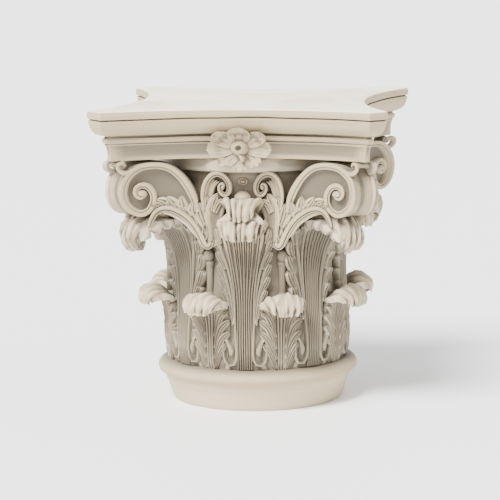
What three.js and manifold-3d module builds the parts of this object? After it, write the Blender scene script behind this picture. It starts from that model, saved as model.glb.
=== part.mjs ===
// A Corinthian capital, cast in one piece: a round moulded foot, a bell with two tiers of acanthus
// leaves, corner volutes and inner helices rising from calyxes, and an abacus with hollow sides and
// a rosette on each face. Millimetres, +Z up, origin at the centre of the underside, front towards -Y.
import * as THREE from 'three';
import { mergeVertices } from 'three/addons/utils/BufferGeometryUtils.js';
import Module from 'manifold-3d';

// Heights of the moulded foot and the bell above it
const FOOT_BAND_HEIGHT = 24;
const FOOT_HOLLOW_HEIGHT = 12;
const TORUS_HEIGHT = 19;
const BELL_HEIGHT = 280;
const LIP_HEIGHT = 17;

// Radii of the foot and the bell
const UNDERSIDE_RADIUS = 112.5;
const FOOT_BAND_RADIUS = 121;
const FOOT_HOLLOW_RADIUS = 127;
const TORUS_RADIUS = 134;
const FOOT_FACETS = 32;
const BELL_FOOT_RADIUS = 112;
const BELL_WAIST_RADIUS = 101;
const BELL_NECK_RADIUS = 118;
const LIP_RADIUS = 130;
const BELL_FACETS = 16;

// Abacus: the stack of its mouldings and its plan
const CAVETTO_HEIGHT = 23;
const ASTRAGAL_HEIGHT = 9;
const OVOLO_HEIGHT = 23;
const SLAB_EDGE_HEIGHT = 10;
const HORN_REACH = 192.5;
const HORN_WIDTH = 30;
const NARROWEST_HORN = 6;
const SIDE_HOLLOW = 43;
const CAVETTO_SETBACK = 25;
const ASTRAGAL_SETBACK = 18;
const OVOLO_SETBACK = 12;

// Lower leaves, eight of them, half-way between the faces and the corners
const LOWER_LEAF_FACE_RADIUS = 121.5;
const LOWER_LEAF_TIP_Z = 132;
const LOWER_LEAF_TIP_REACH = 153;
const LOWER_LEAF_HALF_WIDTH = 31;

// Upper leaves: one on each face and one on each corner
const UPPER_STEM_HALF_WIDTH = 15;
const UPPER_LEAF_HALF_WIDTH = 33;
const FACE_LEAF_TIP_Z = 232;
const FACE_LEAF_TIP_REACH = 146;
const CORNER_LEAF_TIP_Z = 222;
const CORNER_LEAF_TIP_REACH = 205;
const CORNER_TIP_HALF_WIDTH = 21;
const CORNER_TIP_HOOD = 10;
const LEAF_TIP_THICKNESS = 8;
const FLUTE_DEPTH = 2.2;

// Stems, beads and calyxes between the upper leaves
const STEM_ANGLE = 25;
const STEM_FOOT_Z = 156;
const STEM_TOP_Z = 196;
const STEM_FOOT_RADIUS = 4;
const STEM_TOP_RADIUS = 6;
const BEAD_RADIUS = 7;
const CALYX_FOOT_X = 42;
const CALYX_FOOT_Z = 216;

// Volutes at the corners and helices in the middle, on a curved sheet in front of the bell
const SHEET_DISTANCE = 118;
const SHEET_BOW = 65;
const CARVING_DEPTH = 16;
const CALYX_RISE = 6;
const VOLUTE_EYE_X = 124;
const VOLUTE_EYE_Z = 291;
const VOLUTE_BAND_WIDTH = 8;
const VOLUTE_BAND_RISE = 5;
// The volute's radius about its eye after each quarter turn from the calyx, and where it starts
const VOLUTE_RADII = [72, 43, 28, 28, 18, 15, 13, 7];
const VOLUTE_START_ANGLE = 200;
// The turns taken by the outer rim, and where the inner band ends
const VOLUTE_RIM_TURNS = 0.86;
const VOLUTE_END_TURNS = 1.7;
const HELIX_EYE_X = 26;
const HELIX_EYE_Z = 298;
const HELIX_BAND_WIDTH = 6;
const HELIX_RISE = 3;
// The helix's radius about its eye, from the calyx inwards, and the angles it winds through
const HELIX_RADII = [32, 29, 22, 15, 14, 10, 5];
const HELIX_ANGLES = [-55, 400];

// Rosette on each side of the abacus, and the small leaf and bud under it
const ROSETTE_HALF_WIDTH = 40;
const ROSETTE_HALF_HEIGHT = 29;
const ROSETTE_RISE = 14;
const ROSETTE_BUD_RADIUS = 8;
const ROSETTE_PETALS = 5;
const BUD_LEAF_HALF_WIDTH = 27;
const BUD_LEAF_HEIGHT = 30;
const BUD_RADIUS = 10;

// What the finished surface leaves out: edges and facets too fine to cast
const SHORTEST_EDGE = 0.9;
const THINNEST_FACET = 0.02;
const TIDY_PASSES = 12;

// Heights that follow from the stack
const bellFootZ = FOOT_BAND_HEIGHT + FOOT_HOLLOW_HEIGHT + TORUS_HEIGHT;
const abacusZ = bellFootZ + BELL_HEIGHT;
const lipZ = abacusZ - LIP_HEIGHT;
const astragalZ = abacusZ + CAVETTO_HEIGHT;
const ovoloZ = astragalZ + ASTRAGAL_HEIGHT;
const slabEdgeZ = ovoloZ + OVOLO_HEIGHT;
const topZ = slabEdgeZ + SLAB_EDGE_HEIGHT;

const wasm = await Module();
wasm.setup();

const radians = THREE.MathUtils.degToRad;
const mix = THREE.MathUtils.lerp;
const smooth = THREE.MathUtils.smoothstep;

// A closed three.js geometry, turned to its side, becomes a solid with its faces outwards
function solidOf(geometry, side = 0) {
  geometry.rotateZ(side * Math.PI / 2);
  geometry.deleteAttribute('normal');
  geometry.deleteAttribute('uv');
  const merged = mergeVertices(geometry, 1e-3);
  const places = merged.attributes.position;
  const a = new THREE.Vector3();
  const b = new THREE.Vector3();
  const c = new THREE.Vector3();
  const triangles = [];
  let volume = 0;
  for (let i = 0; i < merged.index.count; i += 3) {
    const corners = [0, 1, 2].map((k) => merged.index.getX(i + k));
    if (new Set(corners).size < 3) continue;
    a.fromBufferAttribute(places, corners[0]);
    b.fromBufferAttribute(places, corners[1]);
    c.fromBufferAttribute(places, corners[2]);
    volume += a.dot(b.cross(c));
    triangles.push(corners);
  }
  const facing = volume > 0 ? triangles : triangles.map(([i, j, k]) => [i, k, j]);
  return new wasm.Manifold(new wasm.Mesh({
    numProp: 3,
    vertProperties: new Float32Array(places.array),
    triVerts: new Uint32Array(facing.flat()),
  }));
}

// Every vertex of a geometry is moved to where the rule puts it
function bend(geometry, rule) {
  const places = geometry.attributes.position;
  const at = new THREE.Vector3();
  for (let i = 0; i < places.count; i += 1) {
    at.fromBufferAttribute(places, i);
    const moved = rule(at.x, at.y, at.z);
    places.setXYZ(i, moved.x, moved.y, moved.z);
  }
  return geometry;
}

// A point at a radius and a bearing: 0 degrees is the front, 90 degrees is towards +X
function around(radius, bearing, z) {
  const turn = radians(bearing);
  return new THREE.Vector3(radius * Math.sin(turn), -radius * Math.cos(turn), z);
}

// Smooth values through a few knots spread evenly over 0..1
function along(knots, share) {
  const step = THREE.MathUtils.clamp(share, 0, 1) * (knots.length - 1);
  const first = Math.min(Math.floor(step), knots.length - 2);
  const before = knots[Math.max(first - 1, 0)];
  const after = knots[Math.min(first + 2, knots.length - 1)];
  const local = step - first;
  const from = knots[first];
  const to = knots[first + 1];
  const slopeFrom = (to - before) / 2;
  const slopeTo = (after - from) / 2;
  const cube = local * local * local;
  const square = local * local;
  return from * (2 * cube - 3 * square + 1) + slopeFrom * (cube - 2 * square + local)
    + to * (3 * square - 2 * cube) + slopeTo * (cube - square);
}

// The sheet that carries volutes, helices and calyxes: its distance in front of the axis at x
function sheetDistance(x) {
  return SHEET_DISTANCE + SHEET_BOW * (x / (HORN_REACH - CAVETTO_SETBACK)) ** 2;
}

function onSheet(x, rise, z) {
  return new THREE.Vector3(x, -sheetDistance(x) - rise, z);
}

// A closed turned form about the Z axis; its first seam is turned off the carving's own planes
function turned(outline, segments, seam) {
  const apart = (point, i, all) => i === 0 || point.distanceTo(all[i - 1]) > 0.2;
  const points = outline.getPoints(2).filter(apart);
  const lathe = new THREE.LatheGeometry(points, segments, radians(seam));
  return solidOf(bend(lathe, (x, y, z) => new THREE.Vector3(x, z, y)));
}

// The round foot: a flared band, a hollow and a torus
function foot() {
  const hollowZ = FOOT_BAND_HEIGHT;
  const torusZ = hollowZ + FOOT_HOLLOW_HEIGHT;
  const outline = new THREE.Path();
  outline.moveTo(0, 0);
  outline.lineTo(UNDERSIDE_RADIUS, 0);
  outline.quadraticCurveTo(FOOT_BAND_RADIUS - 2, hollowZ * 0.5, FOOT_BAND_RADIUS, hollowZ);
  outline.lineTo(FOOT_BAND_RADIUS + 1, hollowZ + 1.5);
  outline.lineTo(FOOT_HOLLOW_RADIUS, torusZ);
  outline.quadraticCurveTo(TORUS_RADIUS, torusZ + 1, TORUS_RADIUS, torusZ + TORUS_HEIGHT * 0.42);
  outline.quadraticCurveTo(TORUS_RADIUS - 2, bellFootZ, BELL_FOOT_RADIUS + 4, bellFootZ);
  outline.lineTo(0, bellFootZ);
  return turned(outline, FOOT_FACETS, 2);
}

// The bell, waisted behind the leaves, with a lip under the abacus
function bell() {
  const insideAbacus = abacusZ + CAVETTO_HEIGHT * 0.5;
  const outline = new THREE.Path();
  outline.moveTo(0, bellFootZ - TORUS_HEIGHT * 0.5);
  outline.lineTo(BELL_FOOT_RADIUS, bellFootZ - TORUS_HEIGHT * 0.5);
  outline.lineTo(BELL_WAIST_RADIUS, bellFootZ + BELL_HEIGHT * 0.45);
  outline.lineTo(mix(BELL_WAIST_RADIUS, BELL_NECK_RADIUS, 0.5), bellFootZ + BELL_HEIGHT * 0.75);
  outline.lineTo(BELL_NECK_RADIUS, lipZ - 4);
  outline.lineTo(LIP_RADIUS - 3, lipZ);
  outline.lineTo(LIP_RADIUS, lipZ + LIP_HEIGHT * 0.5);
  outline.lineTo(LIP_RADIUS - 4, insideAbacus);
  outline.lineTo(0, insideAbacus);
  return turned(outline, BELL_FACETS, 6);
}

// The abacus outline in plan, moved inwards: hollow arcs between cut horns, as points by index
function abacusPlan(inset, arcSteps) {
  const reach = HORN_REACH;
  const shoulder = HORN_REACH - HORN_WIDTH / Math.SQRT2;
  const arcRadius = (shoulder ** 2 + SIDE_HOLLOW ** 2) / (2 * SIDE_HOLLOW);
  const centreDistance = reach - SIDE_HOLLOW + arcRadius;
  const radius = arcRadius + inset;
  const hornSum = reach + shoulder - inset * Math.SQRT2;
  let half = Math.asin(shoulder / arcRadius);
  for (let pass = 0; pass < 20; pass += 1) {
    const sine = (hornSum - centreDistance + radius * Math.cos(half)) / radius;
    half = Math.asin(THREE.MathUtils.clamp(sine, 0, 0.9));
  }
  // Deep under the slab two sides' arcs stop short of each other, so that the horn stays a plain edge
  const meeting = (centreDistance - NARROWEST_HORN / Math.SQRT2) / (radius * Math.SQRT2);
  half = Math.min(half, Math.asin(Math.min(meeting, 1)) - Math.PI / 4);
  const plan = [];
  for (let side = 0; side < 4; side += 1) {
    for (let step = 0; step <= arcSteps; step += 1) {
      const turn = mix(-half, half, step / arcSteps);
      const point = new THREE.Vector2(radius * Math.sin(turn), -centreDistance + radius * Math.cos(turn));
      plan.push(point.rotateAround(new THREE.Vector2(), side * Math.PI / 2));
    }
  }
  return plan;
}

// The abacus: the plan carried up through cavetto, astragal, ovolo and the edge of the slab
function abacus() {
  const arcSteps = 6;
  const profile = [
    [CAVETTO_SETBACK, abacusZ],
    [CAVETTO_SETBACK + 1, mix(abacusZ, astragalZ, 0.6)],
    [ASTRAGAL_SETBACK + 2, astragalZ],
    [ASTRAGAL_SETBACK - 2, mix(astragalZ, ovoloZ, 0.5)],
    [OVOLO_SETBACK + 2, ovoloZ],
    [OVOLO_SETBACK * 0.3, mix(ovoloZ, slabEdgeZ, 0.35)],
    [1, slabEdgeZ],
    [0, slabEdgeZ + 1],
    [1, topZ],
  ];
  const around360 = 4 * (arcSteps + 1);
  const plans = profile.map(([inset]) => abacusPlan(inset, arcSteps));
  const tube = new THREE.CylinderGeometry(1, 1, profile.length - 1, around360, profile.length - 1);
  return solidOf(bend(tube, (x, y, z) => {
    const level = Math.round(y + (profile.length - 1) / 2);
    if (Math.hypot(x, z) < 0.5) return new THREE.Vector3(0, 0, profile[level][1]);
    const turn = Math.atan2(x, z) / (2 * Math.PI);
    const index = Math.round((turn + 1) * around360) % around360;
    const place = plans[level][index];
    return new THREE.Vector3(place.x, place.y, profile[level][1]);
  }));
}

// An acanthus leaf: a slab bent along its spine, fluted across, notched at its edges. Up to freeFrom
// its back is sunk in the bell, and past it the tip hangs free
function leaf(shape) {
  const { bearing, spine, halfWidths, freeFrom, buryRadius, lobes, notch, slant, steps, across } = shape;
  const hood = shape.hood ?? 0;
  const curve = new THREE.SplineCurve(spine.map(([r, z]) => new THREE.Vector2(r, z)));
  const slab = new THREE.BoxGeometry(2, 1, 1, across, 1, steps).translate(0, 0.5, 0.5);
  return bend(slab, (v, depth, u) => {
    const share = 1 - (1 - u) ** 1.35;
    const free = smooth(share, freeFrom - 0.12, freeFrom + 0.08);
    const place = curve.getPointAt(share);
    const heading = curve.getTangentAt(share);
    const outward = new THREE.Vector2(heading.y, -heading.x);
    const lift = FLUTE_DEPTH * Math.cos(v * across / 2 * Math.PI) - 4 * (1 - free) * v * v * v * v;
    const droop = free * v * v * LEAF_TIP_THICKNESS * 0.9;
    const cut = 1 - notch * Math.sin(share * lobes * Math.PI) ** 2;
    const reach = v * along(halfWidths, share) * (Math.abs(v) > 0.7 ? cut : 1);
    const back = hood * free * v * v;
    const frontRadius = place.x + outward.x * lift - back;
    const frontZ = place.y + outward.y * lift + slant * (1 - free) * Math.abs(v) ** 1.5 - droop;
    const thin = LEAF_TIP_THICKNESS * (1 - 0.45 * smooth(share, 0.85, 1));
    const backRadius = mix(buryRadius, place.x - outward.x * thin - back, free);
    const backZ = mix(frontZ, place.y - outward.y * thin - droop, free);
    const radius = mix(frontRadius, backRadius, depth);
    const z = mix(frontZ, backZ, depth);
    const turn = THREE.MathUtils.radToDeg(reach / Math.max(place.x, 1));
    return around(radius, bearing + turn, z);
  });
}

function lowerLeaf(bearing) {
  const face = LOWER_LEAF_FACE_RADIUS;
  const tip = LOWER_LEAF_TIP_REACH;
  const z = LOWER_LEAF_TIP_Z;
  return leaf({
    bearing,
    spine: [[face - 5, bellFootZ - 4], [face, bellFootZ + 12], [face, z - 32], [face + 1.5, z - 10],
      [face + 8, z + 9], [mix(face, tip, 0.65), z + 17], [tip - 2, z + 11], [tip, z]],
    halfWidths: [0.72, 1, 1, 0.95, 0.75, 0.84, 0.86, 0.6].map((share) => share * LOWER_LEAF_HALF_WIDTH),
    freeFrom: 0.66, buryRadius: BELL_WAIST_RADIUS - 6, lobes: 4, notch: 0.16, slant: 8, steps: 5, across: 4,
  });
}

function faceLeaf(bearing) {
  const tip = FACE_LEAF_TIP_REACH;
  const z = FACE_LEAF_TIP_Z;
  const stem = UPPER_STEM_HALF_WIDTH;
  const wide = UPPER_LEAF_HALF_WIDTH;
  return leaf({
    bearing,
    spine: [[LOWER_LEAF_FACE_RADIUS - 2, bellFootZ + 1], [LOWER_LEAF_FACE_RADIUS, bellFootZ + 40],
      [118, z - 100], [117, z - 60], [119, z - 30], [124, z - 4], [132, z + 14], [tip - 4, z + 19],
      [tip + 3, z + 10], [tip, z]],
    halfWidths: [stem, stem * 0.9, stem, stem * 1.3, wide, wide * 0.96, wide * 0.78, wide * 0.95, wide],
    freeFrom: 0.8, buryRadius: BELL_WAIST_RADIUS - 6, lobes: 6, notch: 0.12, slant: 10, steps: 7, across: 4,
  });
}

function cornerLeaf(bearing) {
  const tip = CORNER_LEAF_TIP_REACH;
  const z = CORNER_LEAF_TIP_Z;
  const stem = UPPER_STEM_HALF_WIDTH;
  const wide = UPPER_LEAF_HALF_WIDTH;
  const droop = CORNER_TIP_HALF_WIDTH;
  return leaf({
    bearing,
    spine: [[LOWER_LEAF_FACE_RADIUS - 2, bellFootZ + 1], [LOWER_LEAF_FACE_RADIUS, bellFootZ + 40],
      [118, z - 85], [118, z - 40], [124, z - 8], [140, z + 22], [165, z + 38], [tip - 20, z + 38],
      [tip - 2, z + 24], [tip - 3, z + 6], [tip - 18, z - 3]],
    halfWidths: [stem, stem * 0.9, stem * 1.1, wide, wide, wide * 0.8, droop, droop, droop],
    freeFrom: 0.66, buryRadius: BELL_WAIST_RADIUS - 6, lobes: 6, notch: 0.12, slant: 10, steps: 8, across: 4,
    hood: CORNER_TIP_HOOD,
  });
}

// A stem with its bead, standing half out of the bell under each calyx
function stemAndBead(bearing) {
  const middle = BELL_WAIST_RADIUS + STEM_TOP_RADIUS * 0.5;
  const place = around(middle, bearing, 0);
  const stem = new THREE.CylinderGeometry(STEM_TOP_RADIUS, STEM_FOOT_RADIUS, STEM_TOP_Z - STEM_FOOT_Z, 6, 1);
  stem.rotateX(Math.PI / 2).translate(place.x, place.y, (STEM_TOP_Z + STEM_FOOT_Z) / 2);
  const bead = new THREE.SphereGeometry(BEAD_RADIUS, 6, 4).rotateX(Math.PI / 2);
  bead.translate(place.x, place.y, STEM_TOP_Z + BEAD_RADIUS + 2);
  return [stem, bead];
}

// A band on the sheet: a bar bent along a route, with a half-width and a rise at each share of it
function bandOnSheet({ side, route, halfWidths, rise, depth, steps, across }) {
  const curve = new THREE.SplineCurve(route.map(([x, z]) => new THREE.Vector2(x, z)));
  const bar = new THREE.BoxGeometry(2, 1, 1, across, 1, steps).translate(0, 0.5, 0.5);
  return bend(bar, (v, back, u) => {
    const place = curve.getPointAt(u);
    const heading = curve.getTangentAt(u);
    const reach = v * along(halfWidths, u);
    const x = place.x + heading.y * reach;
    const z = place.y - heading.x * reach;
    const crown = rise * (1 - 0.5 * v * v);
    return onSheet(side * x, mix(crown, -depth, back), z);
  });
}

// The two leaves that part at each calyx: one arches to the corner, one stands under the helix
function calyx(side) {
  const x = CALYX_FOOT_X;
  const z = CALYX_FOOT_Z;
  const outer = bandOnSheet({
    side, rise: CALYX_RISE, depth: CARVING_DEPTH, steps: 5, across: 1,
    route: [[x, z], [x + 10, z + 26], [x + 25, z + 46], [x + 45, z + 58], [x + 64, z + 53], [x + 76, z + 34]],
    halfWidths: [3, 9, 13, 12, 10, 5],
  });
  const inner = bandOnSheet({
    side, rise: CALYX_RISE, depth: CARVING_DEPTH, steps: 3, across: 1,
    route: [[x, z], [x - 4, z + 20], [x - 6, z + 44], [x - 17, z + 64]],
    halfWidths: [3, 9, 10, 4],
  });
  return [outer, inner];
}

// A point of the corner volute's spiral, so many turns from the calyx
function volutePoint(turns, shrink) {
  const angle = radians(VOLUTE_START_ANGLE) - turns * 2 * Math.PI;
  const radius = along(VOLUTE_RADII, turns * 4 / (VOLUTE_RADII.length - 1)) - shrink;
  return [VOLUTE_EYE_X + radius * Math.cos(angle), VOLUTE_EYE_Z + radius * Math.sin(angle)];
}

// The block of a corner: a dished face on each side, and a hollow rim between the two
function voluteBlock() {
  const rimSteps = 15;
  const heart = [VOLUTE_EYE_X - 8, VOLUTE_EYE_Z + 6];
  const inner = (place) => {
    const gap = Math.hypot(place[0] - heart[0], place[1] - heart[1]);
    const share = (gap - VOLUTE_BAND_WIDTH) / gap;
    return [mix(heart[0], place[0], share), mix(heart[1], place[1], share)];
  };
  const rings = ['heart', 'floor', 'edge', 'rim', 'edge', 'floor', 'heart'];
  const last = rings.length - 1;
  const points = rings.map((_, i) => new THREE.Vector2(i === 0 || i === last ? 0 : 1, i));
  const lathe = new THREE.LatheGeometry(points, rimSteps);
  return bend(lathe, (x, level, z) => {
    const ring = rings[Math.round(level)];
    const turn = (Math.atan2(x, z) / (2 * Math.PI) + 1) % 1;
    const edge = volutePoint(Math.round(turn * rimSteps) / rimSteps * VOLUTE_RIM_TURNS, 0);
    const [px, pz] = ring === 'heart' ? heart : ring === 'floor' ? inner(edge) : edge;
    const rise = ring === 'heart' || ring === 'floor' ? -VOLUTE_BAND_RISE : 0;
    const front = onSheet(px, rise, pz);
    if (ring === 'rim') {
      const corner = (px - front.y) / 2 - 3 - Math.max(0, VOLUTE_EYE_X + 4 - px) * 0.36;
      return new THREE.Vector3(corner, -corner, pz);
    }
    return level < last / 2 ? front : new THREE.Vector3(-front.y, -front.x, front.z);
  });
}

// The inner turns of a volute, as a raised band on its dished face
function voluteTurns(side) {
  const steps = 7;
  const route = [];
  for (let i = 0; i <= steps; i += 1) {
    route.push(volutePoint(mix(VOLUTE_RIM_TURNS, VOLUTE_END_TURNS, i / steps), VOLUTE_BAND_WIDTH / 2));
  }
  return bandOnSheet({
    side, route, rise: 1, depth: VOLUTE_BAND_RISE * 2, steps: 6, across: 1,
    halfWidths: [0.5, 0.5, 0.45, 0.4].map((share) => share * VOLUTE_BAND_WIDTH),
  });
}

// The small spiral between calyx and lip
function helix(side) {
  const route = [];
  const steps = 12;
  for (let i = 0; i <= steps; i += 1) {
    const share = i / steps;
    const angle = radians(mix(...HELIX_ANGLES, share));
    const radius = along(HELIX_RADII, share);
    route.push([HELIX_EYE_X + radius * Math.cos(angle), HELIX_EYE_Z + radius * Math.sin(angle)]);
  }
  return bandOnSheet({
    side, route, rise: HELIX_RISE, depth: CARVING_DEPTH, steps: 8, across: 1,
    halfWidths: [0.5, 0.5, 0.5, 0.5, 0.45].map((share) => share * HELIX_BAND_WIDTH),
  });
}

// The rosette: a dished flower with scalloped petals and a bud in its heart
function rosette() {
  const segments = ROSETTE_PETALS * 3;
  const back = HORN_REACH - SIDE_HOLLOW - CAVETTO_SETBACK;
  const centreZ = (astragalZ + abacusZ) / 2 + 4;
  const rings = [[0, 6], [0.45, 6], [1, ROSETTE_RISE], [0.85, -6], [0, -6]];
  const lathe = new THREE.LatheGeometry(rings.map(([r], i) => new THREE.Vector2(r, i)), segments);
  const flower = bend(lathe, (x, level, z) => {
    const [share, rise] = rings[Math.round(level)];
    const turn = Math.atan2(x, z);
    const scallop = 1 - 0.2 * Math.cos(turn * ROSETTE_PETALS / 2) ** 8;
    const forward = share > 0.5 && rise > 0 ? rise + 4 * Math.abs(Math.sin(turn * ROSETTE_PETALS / 2)) : rise;
    return new THREE.Vector3(
      Math.sin(turn) * share * scallop * ROSETTE_HALF_WIDTH,
      -back - OVOLO_SETBACK - forward,
      centreZ + Math.cos(turn) * share * scallop * ROSETTE_HALF_HEIGHT,
    );
  });
  const bud = new THREE.SphereGeometry(ROSETTE_BUD_RADIUS, 6, 4);
  bud.scale(1, 1.6, 1).translate(0, -back - OVOLO_SETBACK - 8, centreZ - 2);
  return [flower, bud];
}

// The small leaf and the bud above the tip of the face leaf
function budLeaf() {
  const foot = FACE_LEAF_TIP_Z + 22;
  const front = SHEET_DISTANCE;
  const small = leaf({
    bearing: 0,
    spine: [[front - 2, foot - 6], [front + 2, foot + 10], [front + 8, foot + BUD_LEAF_HEIGHT - 4],
      [front + 17, foot + BUD_LEAF_HEIGHT], [front + 23, foot + BUD_LEAF_HEIGHT - 8]],
    halfWidths: [0.7, 0.75, 0.9, 1, 0.9].map((share) => share * BUD_LEAF_HALF_WIDTH),
    freeFrom: 0.6, buryRadius: BELL_WAIST_RADIUS, lobes: 2, notch: 0.1, slant: 2, steps: 3, across: 2,
  });
  const bud = new THREE.SphereGeometry(BUD_RADIUS, 6, 4).scale(1.1, 1, 0.8);
  bud.translate(0, -front, foot + BUD_LEAF_HEIGHT + 3);
  return [small, bud];
}

// The united surface as a geometry, with hair-short edges closed up and needle facets turned, so that
// every facet left has a plane of its own
function tidied(whole) {
  const cut = whole.getMesh();
  const points = [];
  for (let i = 0; i < cut.vertProperties.length; i += 3) {
    points.push(new THREE.Vector3().fromArray(cut.vertProperties, i));
  }
  const facets = [];
  const facetsOf = points.map(() => new Set());
  const put = (corners) => {
    corners.forEach((corner) => facetsOf[corner].add(facets.length));
    facets.push(corners);
  };
  const drop = (index) => {
    facets[index].forEach((corner) => facetsOf[corner].delete(index));
    facets[index] = null;
  };
  for (let i = 0; i < cut.triVerts.length; i += 3) put([...cut.triVerts.slice(i, i + 3)]);
  const neighbours = (corner) => new Set([...facetsOf[corner]].flatMap((index) => facets[index]));
  const doubleArea = ([i, j, k]) => {
    const side = points[j].clone().sub(points[i]);
    return side.cross(points[k].clone().sub(points[i]));
  };
  const thinness = (corners) => {
    const sides = corners.map((corner, k) => points[corner].distanceTo(points[corners[(k + 1) % 3]]));
    return doubleArea(corners).length() / Math.max(...sides);
  };
  const closeUp = (keep, lose) => {
    const shared = [...neighbours(keep)].filter((corner) => neighbours(lose).has(corner));
    if (shared.length !== 4) return false;
    const moved = [...facetsOf[lose]].filter((index) => !facets[index].includes(keep));
    const after = moved.map((index) => facets[index].map((corner) => (corner === lose ? keep : corner)));
    const turnsOver = after.some((corners, k) => {
      const before = doubleArea(facets[moved[k]]);
      return before.length() > 0.05 && doubleArea(corners).dot(before) <= 0;
    });
    if (turnsOver) return false;
    [...facetsOf[lose]].forEach(drop);
    after.forEach(put);
    return true;
  };
  const turnNeedle = (index) => {
    const corners = facets[index];
    const sides = corners.map((corner, k) => points[corner].distanceTo(points[corners[(k + 1) % 3]]));
    const longest = sides.indexOf(Math.max(...sides));
    const [p, q, r] = [0, 1, 2].map((k) => corners[(longest + k) % 3]);
    const other = [...facetsOf[p]].find((near) => near !== index && facets[near].includes(q));
    const s = facets[other].find((corner) => corner !== p && corner !== q);
    if (neighbours(r).has(s)) return false;
    const turned = [[p, s, r], [s, q, r]];
    if (Math.min(...turned.map(thinness)) <= thinness(corners)) return false;
    drop(index);
    drop(other);
    turned.forEach(put);
    return true;
  };
  for (let pass = 0; pass < TIDY_PASSES; pass += 1) {
    let changes = 0;
    for (let index = 0; index < facets.length; index += 1) {
      for (let k = 0; k < 3 && facets[index]; k += 1) {
        const [from, to] = [facets[index][k], facets[index][(k + 1) % 3]];
        if (points[from].distanceTo(points[to]) < SHORTEST_EDGE && closeUp(from, to)) changes += 1;
      }
      if (facets[index] && thinness(facets[index]) < THINNEST_FACET && turnNeedle(index)) changes += 1;
    }
    if (changes === 0) break;
  }
  const left = facets.filter((corners) => corners);
  const geometry = new THREE.BufferGeometry();
  geometry.setAttribute('position', new THREE.BufferAttribute(
    new Float32Array(left.flat().flatMap((corner) => points[corner].toArray())), 3,
  ));
  geometry.computeVertexNormals();
  return geometry;
}

// One quarter of the carving, turned to its side: a face and the corner to its right
function quarter(turnedTo) {
  const forms = [faceLeaf(0), cornerLeaf(45), lowerLeaf(22.5), lowerLeaf(67.5), voluteBlock()];
  forms.push(...rosette(), ...budLeaf());
  for (const side of [-1, 1]) {
    forms.push(...stemAndBead(side * STEM_ANGLE), ...calyx(side), voluteTurns(side), helix(side));
  }
  return forms.map((form) => solidOf(form, turnedTo)).reduce((whole, form) => whole.add(form));
}

let capital = foot().add(bell()).add(abacus());
for (let side = 0; side < 4; side += 1) capital = capital.add(quarter(side));

const castStone = new THREE.MeshStandardMaterial({ color: 0xc9c0b0, roughness: 0.75, metalness: 0 });
const mesh = new THREE.Mesh(tidied(capital), castStone);
mesh.name = 'capital';

const group = new THREE.Group();
group.add(mesh);
export default group;
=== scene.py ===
# %% [markdown]
# # A Corinthian capital in cast stone
# The capital is one casting: a round moulded foot, a bell wrapped in two tiers of acanthus leaves, volutes
# under the corners and an abacus with hollow sides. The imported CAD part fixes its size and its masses, and
# this lesson carves the same forms with the ribs, lobes, curls and drilled eyes that the CAD leaves out.

# %% Load the frame and the tools
import math

import bmesh
import bpy
import numpy as np
from mathutils import Matrix, Vector
from mathutils.bvhtree import BVHTree


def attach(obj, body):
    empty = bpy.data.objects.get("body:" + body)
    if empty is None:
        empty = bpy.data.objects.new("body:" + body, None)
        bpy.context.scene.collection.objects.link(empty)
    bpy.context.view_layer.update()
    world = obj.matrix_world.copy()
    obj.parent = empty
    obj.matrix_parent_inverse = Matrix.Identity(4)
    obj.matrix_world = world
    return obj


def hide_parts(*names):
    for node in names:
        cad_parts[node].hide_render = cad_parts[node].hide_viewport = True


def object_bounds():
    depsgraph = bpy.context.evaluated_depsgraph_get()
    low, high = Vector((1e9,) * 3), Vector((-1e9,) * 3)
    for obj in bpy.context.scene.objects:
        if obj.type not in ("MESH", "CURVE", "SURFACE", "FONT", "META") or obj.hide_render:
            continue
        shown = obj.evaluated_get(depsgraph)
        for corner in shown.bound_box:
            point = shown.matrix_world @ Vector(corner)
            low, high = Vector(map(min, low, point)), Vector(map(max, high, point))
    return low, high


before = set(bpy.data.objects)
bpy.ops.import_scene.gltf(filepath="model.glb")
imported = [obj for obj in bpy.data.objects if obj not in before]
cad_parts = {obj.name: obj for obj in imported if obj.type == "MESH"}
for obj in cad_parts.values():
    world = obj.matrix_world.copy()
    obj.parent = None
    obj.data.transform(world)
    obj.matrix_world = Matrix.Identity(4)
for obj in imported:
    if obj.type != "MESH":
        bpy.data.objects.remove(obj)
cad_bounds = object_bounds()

MM = 0.001
HORN_REACH = round(cad_bounds[1][0] / MM, 1)
TOP = round(cad_bounds[1][2] / MM, 1)
print("CAD box in metres:", cad_bounds)
print("the horns reach", HORN_REACH, "mm and the slab's top stands at", TOP, "mm")

# %% [markdown]
# ## How a carved rib is made
# A carver works acanthus as bundles of raised ribs that part one after another and end in teeth. Each rib
# could be a curve with a bevel, but a curve keeps a round section. So a rib is a grid whose columns run
# around a section and whose rows follow a route, and the seam is welded shut.

# %% Smooth values and traced routes
def flow(knots, shares):
    """Catmull-Rom values at shares 0..1 through evenly spread knots, one row per share."""
    knots = np.asarray(knots, float)
    table = knots[:, None] if knots.ndim == 1 else knots
    step = np.clip(shares, 0, 1) * (len(table) - 1)
    first = np.minimum(step.astype(int), len(table) - 2)
    local = (step - first)[:, None]
    start, end = table[first], table[first + 1]
    slope_start = (end - table[np.maximum(first - 1, 0)]) / 2
    slope_end = (table[np.minimum(first + 2, len(table) - 1)] - start) / 2
    cube, square = local ** 3, local ** 2
    values = (start * (2 * cube - 3 * square + 1) + slope_start * (cube - 2 * square + local)
              + end * (3 * square - 2 * cube) + slope_end * (cube - square))
    return values[:, 0] if knots.ndim == 1 else values


def smoothstep(low, high, value):
    share = np.clip((value - low) / (high - low), 0, 1)
    return share * share * (3 - 2 * share)


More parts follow.
